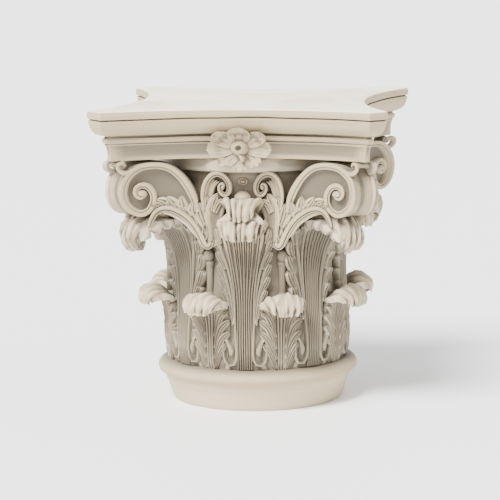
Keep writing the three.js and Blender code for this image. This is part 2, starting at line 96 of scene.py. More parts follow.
class Route:
    """A smooth line through knots, read by its own length."""

    def __init__(self, knots, samples=240):
        shares = np.linspace(0, 1, samples)
        self.points = flow(knots, shares)
        legs = np.linalg.norm(np.diff(self.points, axis=0), axis=1)
        self.marks = np.concatenate([[0], np.cumsum(legs)])
        self.length = self.marks[-1]
        self.headings = np.gradient(self.points, self.marks, axis=0)
        self.headings /= np.linalg.norm(self.headings, axis=1)[:, None]

    def read(self, distance):
        place = np.stack([np.interp(distance, self.marks, self.points[:, k]) for k in (0, 1)], 1)
        heading = np.stack([np.interp(distance, self.marks, self.headings[:, k]) for k in (0, 1)], 1)
        return place, heading / np.linalg.norm(heading, axis=1)[:, None]


print("a quarter round of radius 10 is", round(Route([(10, 0), (7, 7), (0, 10)]).length, 1), "long")

# %% [markdown]
# ## One closed skin for every form
# Every carved piece is a closed shell, so that it can be cast. A lathe or a bevelled curve would do for the
# round ones only. A grid that a rule lays out, with its seam welded and its two ends filled, does for all.

# %% The skin
SEAM = 1e-3


def skin(steps, around, rule):
    """A closed shell: rule(u, v) places each vertex in millimetres, v runs around the section."""
    bm = bmesh.new()
    bmesh.ops.create_grid(bm, x_segments=around, y_segments=steps, size=0.5)
    flat = np.array([vert.co for vert in bm.verts])
    places = rule(flat[:, 1] + 0.5, np.round((flat[:, 0] + 0.5) * around).astype(int))
    for vert, place in zip(bm.verts, places):
        vert.co = place
    bmesh.ops.remove_doubles(bm, verts=bm.verts, dist=SEAM)
    bmesh.ops.holes_fill(bm, edges=bm.edges, sides=around)
    bmesh.ops.recalc_face_normals(bm, faces=bm.faces)
    if bm.calc_volume(signed=True) < 0:
        bmesh.ops.reverse_faces(bm, faces=bm.faces)
    return bm


def tell(name, forms):
    """Prints how many shells a step has made, and their faces."""
    print(f"{name}: {len(forms)} shells with {sum(len(form.faces) for form in forms)} faces")


# %% [markdown]
# ## Sections of the carving
# Four sections do most of the work: a plain ridge, a lobe with two hollows, the fillets of a band, and the
# side of a calyx that falls back to the bell. Each lists places across the rib and heights over the ground,
# both in shares, so that one section serves ribs of every width.

# %% Sections
RIDGE = [(-1, -1), (-1, 0), (-0.55, 0.85), (0, 1), (0.55, 0.85), (1, 0), (1, -1)]
LOBE = [(-1, -1), (-0.95, 0.4), (-0.55, 0.85), (-0.3, 0.35), (0.05, 1), (0.4, 0.4), (0.7, 0.75), (1, 0.05),
        (1, -1)]
FILLETS = [(-1, -1), (-1, 0.6), (-0.82, 0.95), (-0.3, 1), (0.1, 0.9), (0.25, 0.5), (0.42, 0.55),
           (0.62, 0.75), (0.85, 0.65), (1, 0.2), (1, -1)]
FILLETS_LEFT = [(-across, height) for across, height in reversed(FILLETS)]
SIDE = [(-1, -1), (-1, 0.1), (-0.85, 0.35), (-0.6, 0.15), (-0.1, 0.2), (0.3, 0.5), (0.6, 0.95), (0.85, 1),
        (1, 0.3), (1, -1)]
print("points in the sections:", [len(section) for section in (RIDGE, LOBE, FILLETS, SIDE)])

# %% [markdown]
# ## The rib itself
# A rib starts sunk in the ground and ends in a rounded tip, as a gouge leaves it. It could keep one width,
# but carved ribs swell and taper, so its widths are a short list that flows along the route.

# %% The rib
FLAT_END = 0.35


def rib(place, route, widths, rise=2.2, depth=5.0, steps=10, section=RIDGE, blunt=(0.0, 0.14), base=0.0,
        lean=0.0, even=1.25, curl=0.0):
    """A strip that follows a route on a carved surface; its ends are rounded off over the blunt shares."""
    line = Route(route)
    table = np.array(section)

    def rule(u, v):
        u = 1 - (1 - u) ** even
        spot, heading = line.read(u * line.length)
        across, height = table[v % len(table)].T
        end = np.ones_like(u)
        for share, gap in ((blunt[0], u), (blunt[1], 1 - u)):
            if share:
                end *= np.sqrt(np.clip(1 - (1 - np.clip(gap / share, 0, 1)) ** 2, 0, 1))
        reach = (across * end + lean) * flow(widths, u)
        full = height * rise * (FLAT_END + (1 - FLAT_END) * end)
        lift = base + np.where(height > 0, full, height * depth)
        lift = lift + curl * smoothstep(0.45, 0.9, u) * (height > 0)
        return place(spot[:, 0] + heading[:, 1] * reach, spot[:, 1] - heading[:, 0] * reach, lift)

    return skin(steps, len(table), rule)


def both(place, route, *rest, **more):
    """The same rib on the left and on the right of a leaf's spine."""
    return [rib(place, [(side * t, along) for t, along in route], *rest, **more) for side in (1, -1)]


def bundle(place, spacing, routes, widths, steps):
    """The fine ribs up the middle of a leaf, one at each multiple of the spacing to both sides."""
    forms = []
    for count in range(-3, 4):
        t = count * spacing
        forms.append(rib(place, [(t * share, along) for share, along in routes], widths, 2.6, steps=steps))
    return forms


tell("a trial rib", [rib(lambda x, y, lift: np.stack([x, y, lift], 1), [(0, 0), (0, 10)], [1, 1])])

# %% [markdown]
# ## Surfaces to carve on
# A leaf grows up the bell, leans out and rolls over, so its ribs are laid out in flat leaf measures: t across
# the leaf and s along its spine. The volutes, helices and calyxes lie on an upright sheet that bows out
# towards the corners. Laying ribs out flat and bending them with one rule keeps every rib on its leaf.

# %% The bent leaf and the bowed sheet
SHEET_DISTANCE, SHEET_BOW, SHEET_HALF = 118.0, 65.0, 167.5
LEAF_SPREAD = 30


def leaf_surface(bearing, spine, droop=0.0, free_from=1e9, hood=0.0):
    """Gives place(t, s, lift) for a leaf at a bearing, whose spine is a list of radius and height."""
    line = Route(spine)

    def place(across, along, lift):
        spot, heading = line.read(np.clip(along, 0, line.length))
        beyond = along - np.clip(along, 0, line.length)
        free = smoothstep(free_from - 12, free_from + 10, along)
        radius = spot[:, 0] + heading[:, 0] * beyond + heading[:, 1] * lift
        height = spot[:, 1] + heading[:, 1] * beyond - heading[:, 0] * lift
        height = height - droop * free * (across / LEAF_SPREAD) ** 2
        radius = radius - hood * free * (across / LEAF_SPREAD) ** 2
        turn = math.radians(bearing) + across / np.maximum(spot[:, 0], 1)
        return np.stack([radius * np.sin(turn), -radius * np.cos(turn), height], 1)

    place.length = line.length
    return place


def sheet_surface(side):
    """Gives place(x, z, lift) on the bowed sheet, on the right for side 1 and on the left for side -1."""
    def place(across, height, lift):
        distance = SHEET_DISTANCE + SHEET_BOW * (across / SHEET_HALF) ** 2
        return np.stack([side * across, -distance - lift, height], 1)
    return place


print("the sheet stands", SHEET_DISTANCE, "mm out at the middle, and", SHEET_DISTANCE + SHEET_BOW,
      "mm out at a corner")

# %% [markdown]
# ## The body of a leaf and its rolled tip
# A leaf is a slab that is joined to the bell, with a tip that rolls over and is ruffled at its rim. The tip
# could be a thickened sheet, but a ruffled sheet crosses itself. So the front has the folds, the back only
# follows them coarsely, and both come from one closed skin.

# %% Slab and cap
def front_and_back(columns, back_columns):
    """A flat section: fine steps across its front and coarse ones across its back."""
    front = [(-1 + 2 * i / columns, 1) for i in range(columns + 1)]
    back = [(1 - 2 * i / back_columns, -1) for i in range(back_columns + 1)]
    return np.array(front + back)


def slab(place, end, widths, backs, fronts, steps):
    """The body of a leaf up to a distance along its spine, with its back at the depths given."""
    table = front_and_back(6, 4)

    def rule(u, v):
        across, height = table[v % len(table)].T
        lift = np.where(height > 0, flow(fronts, u) - 1.5 * across ** 4, -flow(backs, u))
        return place(across * flow(widths, u), end * u, lift)

    return skin(steps, len(table), rule)


def cap(place, start, end, widths, thick, folds, ripple, scallop, side_cut, steps, sharp, columns, smooth_to,
        waver=0.0, wing=0.0, lumps=0.6):
    """The rolled-over tip of a leaf: smooth at its bend, folded like a shell towards its ragged rim."""
    table = front_and_back(columns, columns // 2)

    def rule(u, v):
        across, height = table[v % len(table)].T
        bent = across + waver * np.sin(across * 5 + 1) * (1 - across ** 2)
        crest = np.abs(np.cos(math.pi * folds / 2 * bent)) ** sharp
        uneven = 0.8 + 0.35 * np.sin(across * 9.0 + 0.7)
        grown = smoothstep(smooth_to, 0.95, u)
        length = (end - start) * (1 - side_cut * np.abs(across) ** 2.5) - scallop * uneven * (1 - crest)
        body = flow(thick, u) * (1 - 0.6 * smoothstep(0.82, 1, u))
        swell = lumps * np.sin(across * 11 + u * 5) * np.sin(u * 13 + across * 4) * smoothstep(0.1, 0.4, u)
        lift = np.where(height > 0, ripple * uneven * grown * (crest - 0.6) - 0.5,
                        -body - ripple * grown * (crest - 0.35))
        lift = lift + wing * np.abs(across) ** 4 * smoothstep(0.3, 0.7, u) + swell
        return place(across * flow(widths, u), start + length * u, lift)

    return skin(steps, len(table), rule)


print("points around the section of a slab:", len(front_and_back(6, 4)))

# %% [markdown]
# ## Lower leaves
# Eight broad leaves stand on the foot. Each has three upright ribs in its middle, side ribs that part to the
# left and right and end in teeth, and a tip that rolls over like a shell. They are alike, so one function
# makes a leaf at any bearing, and the quarter that is carved here needs two of them.

# %% Lower leaf
LOWER_BEARINGS = (22.5, 67.5)
LOWER_SPINE = [(116.5, 51), (120.5, 67), (121.5, 100), (123, 122), (129.5, 143), (141, 153), (151.5, 147),
               (153.5, 132)]
LOWER_TEETH = [
    ([(5.5, 1), (9.5, 14), (16, 30), (24, 41)], [1.6, 3.0, 4.0, 3.4]),
    ([(5.5, 8), (10.5, 30), (17.5, 46), (28, 56)], [1.5, 3.4, 4.8, 4.0]),
    ([(6, 20), (10.5, 44), (17, 61), (28.5, 72)], [1.4, 3.4, 5.0, 4.2]),
    ([(6.5, 34), (10.5, 58), (17, 76), (27, 87)], [1.4, 3.2, 4.8, 4.2]),
    ([(6.5, 50), (10, 70), (15, 86), (23, 96)], [1.2, 2.8, 4.4, 4.2]),
]


def lower_leaf(bearing):
    place = leaf_surface(bearing, LOWER_SPINE, droop=9, free_from=88, hood=5)
    forms = [slab(place, 86, [17, 22, 27, 27, 28, 26], [14, 18, 19, 20, 18, 16], (-1, -0.6, -0.4, 0), 12)]
    forms.append(cap(place, 76, place.length + 1, [19, 22, 28, 30.5, 28.5, 24], [13, 9, 6, 5.5, 4], folds=8,
                     ripple=7.5, scallop=7.5, side_cut=0.22, steps=13, sharp=0.5, columns=44, smooth_to=0.3,
                     waver=0.1, wing=3, lumps=1.4))
    for t, wide in ((0, 1.8), (3.9, 1.6), (-3.9, 1.6)):
        route = [(t * 0.9, 2), (t * 0.85, 30), (t, 60), (t * 1.5, 92)]
        forms.append(rib(place, route, [wide, wide * 0.9, wide, wide * 1.5], 2.4, steps=8))
    for route, widths in LOWER_TEETH:
        forms += both(place, route, widths, 3.0, 7, 10, LOBE, curl=1.2)
    return forms


lower_forms = [form for bearing in LOWER_BEARINGS for form in lower_leaf(bearing)]
tell("two lower leaves", lower_forms)

# %% [markdown]
# ## Face leaves
# One tall leaf stands on each face. Its stem runs down between the lower leaves as straight flutes, its ribs
# fan out above, and at its foot the two outer ribs hook back into drops. A second small rim behind the tip
# closes the gap to the bud, as the casting does.

# %% Face leaf
HOOK = [(12.2, 60), (11.0, 32), (11.0, 17), (14, 8.6), (19.5, 5.8), (25, 9.5), (28, 19), (28.2, 33), (26, 47)]
HOOK_WIDTHS = [1.5, 1.6, 1.8, 2.0, 2.1, 2.1, 2.1, 1.9, 1.5]
BULB = [(24.5, 41), (20.5, 33), (17.8, 25), (19, 18)]
BULB_WIDTHS = [2.0, 3.0, 3.6, 3.0]
FACE_SPINE = [(119, 56), (121, 92), (119, 132), (117, 172), (119, 202), (124, 226), (131, 242), (140, 249),
              (148, 242), (149, 230)]
COLLAR_SPINE = [(116, 266), (124, 261), (133, 255), (141, 248)]
FACE_FAN = [(1, 1), (1.04, 40), (0.97, 75), (1.15, 105), (1.9, 150), (2.7, 200)]
FACE_SIDE_RIBS = [
    [(13.5, 62), (14.6, 92), (19.5, 126), (27, 151), (34, 168)],
    [(14.5, 62), (17.5, 92), (23, 116), (29, 134)],
    [(15.5, 60), (19, 80), (23, 97), (27, 109)],
]
FACE_TEETH = [
    [(17, 68), (21.5, 79), (23.5, 90)],
    [(19, 84), (24.5, 96), (28.5, 106)],
    [(21, 100), (28, 114), (32, 124)],
    [(23, 116), (30, 131), (34, 141)],
    [(25, 133), (32, 148), (35.5, 158)],
    [(28, 150), (34, 165), (37, 175)],
    [(30, 168), (34.5, 180), (36.5, 188)],
]


def face_leaf(bearing):
    place = leaf_surface(bearing, FACE_SPINE, droop=-2, free_from=184, hood=3)
    forms = [slab(place, 184, [22, 23, 20, 25, 31, 31, 26], [14, 16, 16, 14, 14, 16, 18], (-1.2, -0.4), 14)]
    forms.append(cap(place, 168, place.length + 1, [20, 25, 31, 35.5, 31, 28], [14, 9, 6.5, 6, 5], folds=9,
                     ripple=7.5, scallop=7.5, side_cut=0.1, steps=15, sharp=0.5, columns=42, smooth_to=0.12,
                     waver=0.1, wing=5, lumps=1.4))
    collar = leaf_surface(bearing, COLLAR_SPINE)
    forms.append(cap(collar, 0, collar.length, [12, 16, 24, 31], [8, 8, 8, 8], folds=5, ripple=4, scallop=0,
                     side_cut=0, steps=6, sharp=0.6, columns=24, smooth_to=-0.5))
    forms += bundle(place, 2.9, FACE_FAN, [1.2, 1.15, 1.15, 1.2, 1.3, 1.5], 11)
    for between in (1.5, 4.4):
        route = [(between * 1.3, 122), (between * 1.9, 150), (between * 2.7, 200)]
        forms += both(place, route, [0.7, 1.0, 1.5], 2.4, steps=9, blunt=(0.3, 0.1))
    forms += both(place, [(27, 186), (19.5, 150), (13.5, 105)] + HOOK, [2.8, 2.4, 1.7] + HOOK_WIDTHS, 3.0, 6,
                  32, blunt=(0.03, 0.05), base=0.6, even=1)
    forms += both(place, BULB, BULB_WIDTHS, 3.4, 6, 7, blunt=(0, 0.3), base=1)
    for route in FACE_SIDE_RIBS:
        forms += both(place, route, [1.2, 1.9, 2.4, 2.4], 2.8, steps=12)
    for route in FACE_TEETH:
        forms += both(place, route, [2.2, 4.4, 3.2], 3.0, 7, 7, LOBE, curl=1.5)
    return forms


face_forms = face_leaf(0)
tell("a face leaf", face_forms)

# %% [markdown]
# ## Corner leaves
# A leaf under each corner leans far out and carries the volutes. Its tip is a crumpled cluster of small
# lobes, which are laid over the folded cap one by one, because a single sheet would stay too smooth there.

# %% Corner leaf
CORNER_SPINE = [(119, 56), (121, 92), (118, 137), (118, 182), (124, 214), (140, 242), (163, 255), (186, 256),
                (201, 246), (202, 230), (190, 221)]
CORNER_FAN = [(1, 1), (1.03, 60), (1.05, 110), (1.6, 160), (2.1, 200), (1.7, 248)]
CORNER_SIDE_RIBS = [
    [(13.5, 64), (15, 100), (20.5, 140), (29, 168), (36, 186)],
    [(15, 64), (19, 100), (27, 126), (33, 142)],
]
CORNER_TEETH = [
    [(21, 84), (26, 98), (29.5, 108)],
    [(24, 104), (31.5, 119), (35.5, 129)],
    [(27, 126), (34.5, 142), (38.5, 152)],
    [(29, 146), (36.5, 163), (39.5, 174)],
    [(30, 168), (36.5, 184), (39, 196)],
]
CORNER_LOBES = [
    [(12, 204), (21, 212), (27, 220), (29, 228)],
    [(10, 214), (19, 224), (25, 234), (26, 243)],
    [(12, 228), (20, 240), (24, 251), (23, 259)],
    [(9, 238), (15, 252), (19, 264), (18, 273)],
    [(4, 250), (9, 268), (11, 282), (8, 290)],
]


def corner_leaf(bearing):
    place = leaf_surface(bearing, CORNER_SPINE, droop=8, free_from=205, hood=22)
    forms = [slab(place, 196, [22, 23, 20, 28, 35, 35, 30], [14, 16, 16, 14, 14, 18, 20], (-1.2, 0.4), 15)]
    forms.append(cap(place, 176, place.length + 1, [29, 27, 24, 20, 20, 21, 19], [20, 12, 8, 8, 7, 6, 4.5],
                     folds=7, ripple=8, scallop=9, side_cut=0.2, steps=20, sharp=0.4, columns=32,
                     smooth_to=0.15, waver=0.14, wing=2, lumps=3.6))
    forms += bundle(place, 2.9, CORNER_FAN, [1.2, 1.15, 1.25, 1.8, 2.4, 2.4], 12)
    forms += both(place, [(19, 235), (23, 192), (18.5, 155), (13.5, 105)] + HOOK,
                  [2.6, 2.8, 2.4, 1.7] + HOOK_WIDTHS, 3.0, 6, 34, blunt=(0.03, 0.05), base=0.6, even=1)
    forms += both(place, BULB, BULB_WIDTHS, 3.4, 6, 7, blunt=(0, 0.3), base=1)
    for route in CORNER_SIDE_RIBS:
        forms += both(place, route, [1.2, 1.9, 2.6, 2.6], 2.8, steps=12)
    for route in CORNER_TEETH:
        forms += both(place, route, [2.8, 5.6, 4.0], 3.4, 7, 7, LOBE, curl=2)
    for route in CORNER_LOBES:
        forms += both(place, route, [2.4, 4.2, 4.8, 2.6], 5, 4, 7, LOBE, (0, 0.25), base=-1.5, curl=5)
    return forms


corner_forms = corner_leaf(45)
tell("a corner leaf", corner_forms)

# %% [markdown]
# ## Stems and beads
# Between the upper leaves stand thin stems, each with a bead on top. Both are turned shapes, so a profile
# spun around its own axis makes them, half sunk in the bell.

# %% Stem and bead
STEM_BEARING = math.radians(25)
STEM = [(4.4, 150), (4.6, 172), (5.3, 190), (6.4, 193.5), (6.6, 196.5), (4.8, 199)]
BEAD = [(3.5, 198), (6.2, 200.5), (7.4, 205.5), (6.2, 210.5), (3.5, 213)]
STEM_REACH, BEAD_REACH = 112, 115
STEM_SIDES = 12


def spun(outline, steps, sides, lay):
    """A turned shape: lay(a, b, along) puts a point of its round section and of its axis in place."""
    def rule(u, v):
        radius, along = flow(outline, u).T
        turn = v / sides * 2 * math.pi
        return np.stack(lay(radius * np.cos(turn), radius * np.sin(turn), along), 1)
    return skin(steps, sides, rule)


def stem_and_bead(side):
    forms = []
    for outline, reach in ((STEM, STEM_REACH), (BEAD, BEAD_REACH)):
        x, y = reach * math.sin(side * STEM_BEARING), -reach * math.cos(STEM_BEARING)
        forms.append(spun(outline, 11, STEM_SIDES, lambda a, b, along: [x + a, y + b, along]))
    return forms


stem_forms = {side: stem_and_bead(side) for side in (-1, 1)}
tell("a stem with its bead", stem_forms[1])

# %% [markdown]
# ## Calyxes
# From each bead rises a calyx of two leaves. The inner side falls back to the bell, the outer one arches to
# the corner, a grooved rim runs around its foot and along its lower edge, and a fine raised ring outlines
# the drop at its parting. The leaf edge could be one ruffled sheet, but the lobes of the cast overlap, so
# it is a row of them.

# %% Calyx
CALYX_INNER = [(46, 217), (39.5, 226), (38, 240), (38.5, 256), (36, 271), (30, 285)]
CALYX_OUTER = [(47, 222), (56, 240), (66, 255), (78, 265), (92, 272), (104, 272), (113, 263)]
CALYX_RIM = [(39.5, 227), (40.5, 220.5), (46, 216.5), (53.5, 222), (60, 236), (66, 246.5), (74.5, 256.5),
             (85.5, 264.5), (96.5, 268.5), (106, 266), (112, 258), (116, 247)]
CALYX_RIM_WIDTHS = [3.4, 4, 4.2, 4.8, 4.6, 4.4, 4.4, 4.2, 4.2, 4, 3.6, 3, 2.4]
CALYX_DROP = [(49, 228), (45.8, 235), (46.5, 245), (49, 250), (51.5, 243), (52, 235), (49, 228)]
CALYX_LOBES = [
    ([(37, 264), (32, 275), (24, 281)], [4, 5.2, 2.6]),
    ([(40, 266), (38, 279), (32, 289)], [4, 5.6, 3.0]),
    ([(45, 258), (48, 272), (46, 286)], [4, 6.2, 3.2]),
    ([(49, 248), (54, 262), (56, 277)], [4, 6.4, 3.0]),
    ([(58, 250), (64, 266), (63, 280)], [4, 7.4, 3.6]),
    ([(68, 259), (76, 271), (78, 288)], [4, 7.2, 3.4]),
    ([(80, 267), (89, 278), (95, 287)], [4, 7.2, 3.6]),
    ([(91, 271), (99, 280), (108, 284)], [4, 6.2, 3.2]),
    ([(101, 271), (109, 277), (114, 278)], [3, 4.8, 2.6]),
]


def calyx(side):
    place = sheet_surface(side)
    forms = [rib(place, CALYX_INNER, [3.5, 7.5, 10, 11.5, 12, 10], 5.2, 14, 14, SIDE, (0.05, 0.12), base=-1),
             rib(place, CALYX_OUTER, [4, 8, 10, 10.5, 10, 8.5, 4], 3.4, 14, 16, LOBE),
             rib(place, CALYX_RIM, CALYX_RIM_WIDTHS, 6.5, 16, 32, FILLETS, (0.03, 0.05), lean=-0.7, even=1),
             rib(place, CALYX_DROP, [1.4, 1.4], 6.2, 10, 20, RIDGE, (0, 0), even=1)]
    for route, widths in CALYX_LOBES:
        forms.append(rib(place, route, widths, 3.6, 12, 6, LOBE, (0, 0.4), curl=3.0))
    return forms


calyx_forms = {side: calyx(side) for side in (-1, 1)}
tell("a calyx", calyx_forms[1])

# %% [markdown]
# ## Volutes and the blocks of the corners
# A block fills each corner under the slab. Its two faces are sunk fields that follow the bowed sheets, and
# its edge is hollowed between them. A block cut from a cube would need two bowed faces that fit the sheets,
# so this one is a single skin whose rings run from one face over the edge to the other.

# %% Corner block
VOLUTE = [(56, 266), (58, 283), (64.5, 299), (76, 315), (92, 327.5), (111, 331.5), (130, 328.5), (145.5, 315),
          (151, 296), (147.5, 278.5), (138, 267), (126, 262.5), (114.5, 267.5), (108, 280), (108.5, 293),
          (115, 303), (124.5, 306.5), (132.5, 303.5), (136, 295.5), (133, 287.5), (126, 284.5),
          (120.5, 289.5), (123, 295)]
BLOCK_KNOTS = 14
BLOCK_POINTS = 56
BLOCK_HEART = np.array([112.0, 293.0])
BLOCK_RINGS = ["heart", "floor", "edge", "edge", "rim_a", "rim", "rim_b", "edge", "edge", "floor", "heart"]
FIELD_BORDER, FIELD_DEPTH = 6, 4.0
RIM_HOLLOW, RIM_FULL_X, RIM_NARROWING = 4.0, 128.0, 0.36


def corner_block():
    whole = Route(VOLUTE)
    turned_length = Route(VOLUTE[:BLOCK_KNOTS]).length
    outline = whole.read(np.linspace(0, turned_length, BLOCK_POINTS))[0]

    def ring_spot(name, edge):
        if name == "heart":
            return BLOCK_HEART
        if name == "floor":
            gap = np.linalg.norm(edge - BLOCK_HEART)
            return BLOCK_HEART + (edge - BLOCK_HEART) * (1 - FIELD_BORDER / gap)
        return edge

    def rule(u, v):
        index = np.round(u * (len(BLOCK_RINGS) - 1)).astype(int)
        places = []
        for ring, step in zip(index, v):
            name = BLOCK_RINGS[ring]
            spot = ring_spot(name, outline[step % BLOCK_POINTS])
            lift = -FIELD_DEPTH if name in ("heart", "floor") else 0
            front = sheet_surface(1)(spot[:1], spot[1:], np.array([lift]))[0]
            back = np.array([-front[1], -front[0], front[2]])
            middle = (front + back) / 2
            if name.startswith("rim"):
                inwards = RIM_HOLLOW + max(0, RIM_FULL_X - spot[0]) * RIM_NARROWING
                middle = middle + np.array([-inwards, inwards, 0]) * 0.7
                share = {"rim_a": 0.5, "rim": 1, "rim_b": 0.5}[name]
                towards = front if name == "rim_a" else back
                places.append(middle + (towards - middle) * (1 - share) * 0.9)
            else:
                places.append(front if ring < len(BLOCK_RINGS) / 2 else back)
        return np.array(places)

    return skin(len(BLOCK_RINGS) - 1, BLOCK_POINTS, rule)


block_form = corner_block()
tell("a corner block", [block_form])

# %% [markdown]
# ## The bands of the volutes
# On each face of the block a band of fillets arches from the calyx and winds in to an eye. Its route is the
# block's own outline, and the band lies on the inner side of it. It is a rib like the others, so that it
# can taper. A small plain scroll curls up at the corner, under the slab.

# %% Volute band
VOLUTE_WIDTHS = [3.2, 5.0, 5.2, 4.6, 4.2, 4.2, 4.2, 4.2, 4.2, 4.2, 4.2, 4.2, 4.2, 4.0, 3.8, 3.4, 3]
VOLUTE_EYE = [(119, 291), (130, 294)]
CORNER_SCROLL = [(133, 326), (139, 320.5), (146, 320), (152, 325), (152, 331.5), (147, 332.5), (145.5, 328.5)]


def volute_band(side):
    """The band of one volute, from the calyx over the top and in to its eye."""
    place = sheet_surface(side)
    band = rib(place, VOLUTE, VOLUTE_WIDTHS, 4.5, 9, 64, FILLETS, (0, 0.02), lean=1.0, even=1)
    eye = rib(place, VOLUTE_EYE, [5, 5], 6.5, 8, 8, RIDGE, (0.5, 0.5), even=1)
    scroll = rib(place, CORNER_SCROLL, [1.8, 3.0, 3.2, 2.8, 2.4, 2.2, 1.8], 4.5, 2.5, 18, RIDGE, (0.1, 0.15),
                 even=1)
    return [band, eye, scroll]


volute_forms = {side: volute_band(side) for side in (-1, 1)}
tell("a volute band", volute_forms[1])

# %% [markdown]
# ## Helices
# Two smaller bands lean to each other over the bud and wind in under the slab. Inside each arch three fine
# ribs follow the curve in low relief. They could be cut into the bell, but laid on the sheet they keep the
# line of the band.

# %% Helix
HELIX = [(51, 268), (54, 286), (51, 303), (43, 314.5), (31.5, 318), (20.5, 312.5), (14, 301), (15, 289),
         (22, 283.5), (29, 286.5), (32.5, 294), (31, 301), (26, 303), (22.5, 299), (24.5, 295.5)]
HELIX_WIDTHS = [2.4, 3.4, 3.9, 3.9, 3.9, 3.9, 3.9, 3.7, 3.4, 3, 2.6, 2.4]
HELIX_EYE = [(23, 296), (28, 297.5)]


def helix(side):
    place = sheet_surface(side)
    band = rib(place, HELIX, HELIX_WIDTHS, 5, 13, 46, FILLETS_LEFT, (0, 0.03), lean=-1.0, even=1)
    eye = rib(place, HELIX_EYE, [3.8, 3.8], 7, 9, 6, RIDGE, (0.5, 0.5), even=1)
    forms = [band, eye]
    for i in range(3):
        route = [(47 - 2 * i, 262), (46.5 - 2.6 * i, 282), (43.5 - 3 * i, 298), (37 - 3.4 * i, 308 - 2 * i)]
        forms.append(rib(place, route, [1.6, 2.2, 2.2, 1.6], 1.5, 10, 9, RIDGE, (0.1, 0.1), base=-1.5))
    return forms


helix_forms = {side: helix(side) for side in (-1, 1)}
tell("a helix", helix_forms[1])

# %% [markdown]
# ## Rosettes
# A flower sits on the middle of each side of the abacus. Eight ruffled petals lie around a cup with a
# drilled middle, and a short tongue hangs from the cup. The petals could be copies of one, but the upper
# ones stand out and curl while the lower ones lie flatter. So a table gives each its turn, length, width,
# lift, curl and number of folds.

# %% Rosette
SIDE_HOLLOW, CAVETTO_SETBACK = 43, 25
ROSETTE_Z = 351.0
ROSETTE_DISTANCE = HORN_REACH - SIDE_HOLLOW - CAVETTO_SETBACK + 12
PETALS = [
    (0, 27, 13, 9, 10, 3),
    (55, 32, 11, 7, 9, 3),
    (-55, 32, 11, 7, 9, 3),
    (95, 33, 12, 4, 4, 4),
    (-95, 33, 12, 4, 4, 4),
    (142, 30, 10.5, 2, 3, 3),
    (-142, 30, 10.5, 2, 3, 3),
    (180, 31, 8.5, 1, 2, 2),
]
CUP = [(13, -2), (12, 8), (9.5, 15), (6.5, 19.5), (4.6, 19.5), (3.4, 16), (0.01, 13)]
CUP_SIDES = 18


def petal(turn, length, wide, lift, curl, folds):
    table = front_and_back(12, 4)
    angle = math.radians(turn)

    def rule(u, v):
        across, height = table[v % len(table)].T
        ripple = np.abs(np.cos(across * math.pi * folds / 2)) ** 0.6
        half = wide * np.sqrt(np.clip(1 - (np.abs(u - 0.62) / 0.64) ** 2.6, 0.03, 1))
        along = 5 + length * u * (1 - 0.10 * (1 - ripple) * u - 0.10 * across ** 2 * u)
        out = lift + 5 * u ** 1.6 + 2.5 * across ** 2 * u
        out = out + curl * smoothstep(0.55, 1, u) + 2.0 * ripple * u
        out = out + np.where(height > 0, 1.2, -4.5)
        x = across * half
        sideways = x * math.cos(angle) + along * math.sin(angle)
        upwards = -x * math.sin(angle) + along * math.cos(angle)
        return np.stack([sideways * 1.1, -ROSETTE_DISTANCE - out, ROSETTE_Z + upwards * 0.84], 1)
    return skin(9, len(table), rule)


def rosette():
    forms = [petal(*shape) for shape in PETALS]
    forms.append(spun(CUP, 12, CUP_SIDES,
                      lambda a, b, out: [a, -ROSETTE_DISTANCE - out, ROSETTE_Z + b * 0.9]))

    def front(across, height, lift):
        return np.stack([across, -ROSETTE_DISTANCE - 12 - lift, ROSETTE_Z + height], 1)
    forms.append(rib(front, [(-1, -4), (1, -9), (4, -14), (3, -19)], [3.0, 2.8, 3.2, 2.2], 5, 8, 9, RIDGE,
                     (0.1, 0.3)))
    return forms


rosette_forms = rosette()
tell("a rosette", rosette_forms)

# %% [markdown]
# ## Bud, bud leaf and ringed bead
# Over each face leaf hangs the small leaf of a bud, with the bud's dome behind it and a ringed bead between
# the helices. The leaf is a cap on its own short spine, and the other two are turned shapes.

# %% Bud leaf, bud and ringed bead
BUD_SPINE = [(114, 246), (119, 256), (125, 267), (132, 275), (140, 275), (147, 266), (148, 254)]
BUD_DOME = [(0.01, 266), (8, 269), (12, 277), (10.5, 286), (5, 291), (0.01, 291.5)]
RINGED_BEAD = [(6.5, -8), (6.6, 1), (5.6, 3), (4.2, 1.6), (3.2, 1), (2.6, 2.6), (0.01, 4)]
BUD_Y, RINGED_BEAD_Y, RINGED_BEAD_Z = 120, 117, 304
BUD_SIDES = 18


def bud_leaf():
    place = leaf_surface(0, BUD_SPINE, droop=-7, free_from=20)
    forms = [cap(place, 0, place.length - 1, [16, 17, 20, 28, 25, 20, 18.5], [12, 10, 7, 6, 5, 4], folds=5,
                 ripple=6.5, scallop=4.5, side_cut=0.1, steps=16, sharp=0.5, columns=36, smooth_to=0.3,
                 waver=0.06, wing=5, lumps=0.9)]
    for t in (-4.3, 0, 4.3):
        route = [(t * 0.7, 27), (t, 36), (t * 1.1, 46), (t, 55)]
        forms.append(rib(place, route, [1.2, 2.0, 2.2, 1.8], 4.4, 3, 8, RIDGE, (0.2, 0.3)))
    forms.append(spun(BUD_DOME, 10, BUD_SIDES, lambda a, b, along: [a, -BUD_Y - b * 0.95, along]))
    forms.append(spun(RINGED_BEAD, 12, BUD_SIDES,
                      lambda a, b, out: [a, -RINGED_BEAD_Y - out, RINGED_BEAD_Z + b * 0.75]))
    return forms


bud_forms = bud_leaf()
tell("a bud with its leaf", bud_forms)

# %% [markdown]
# ## Corner rolls
# A little roll lies across each corner, under the slab and on top of the block. It is a drum with rounded
# ends that sags a little at both sides.

# %% Corner roll
ROLL_SIDES, ROLL_HALF, ROLL_RADIUS, ROLL_REACH, ROLL_Z = 12, 13, 4.2, 220, 330.5


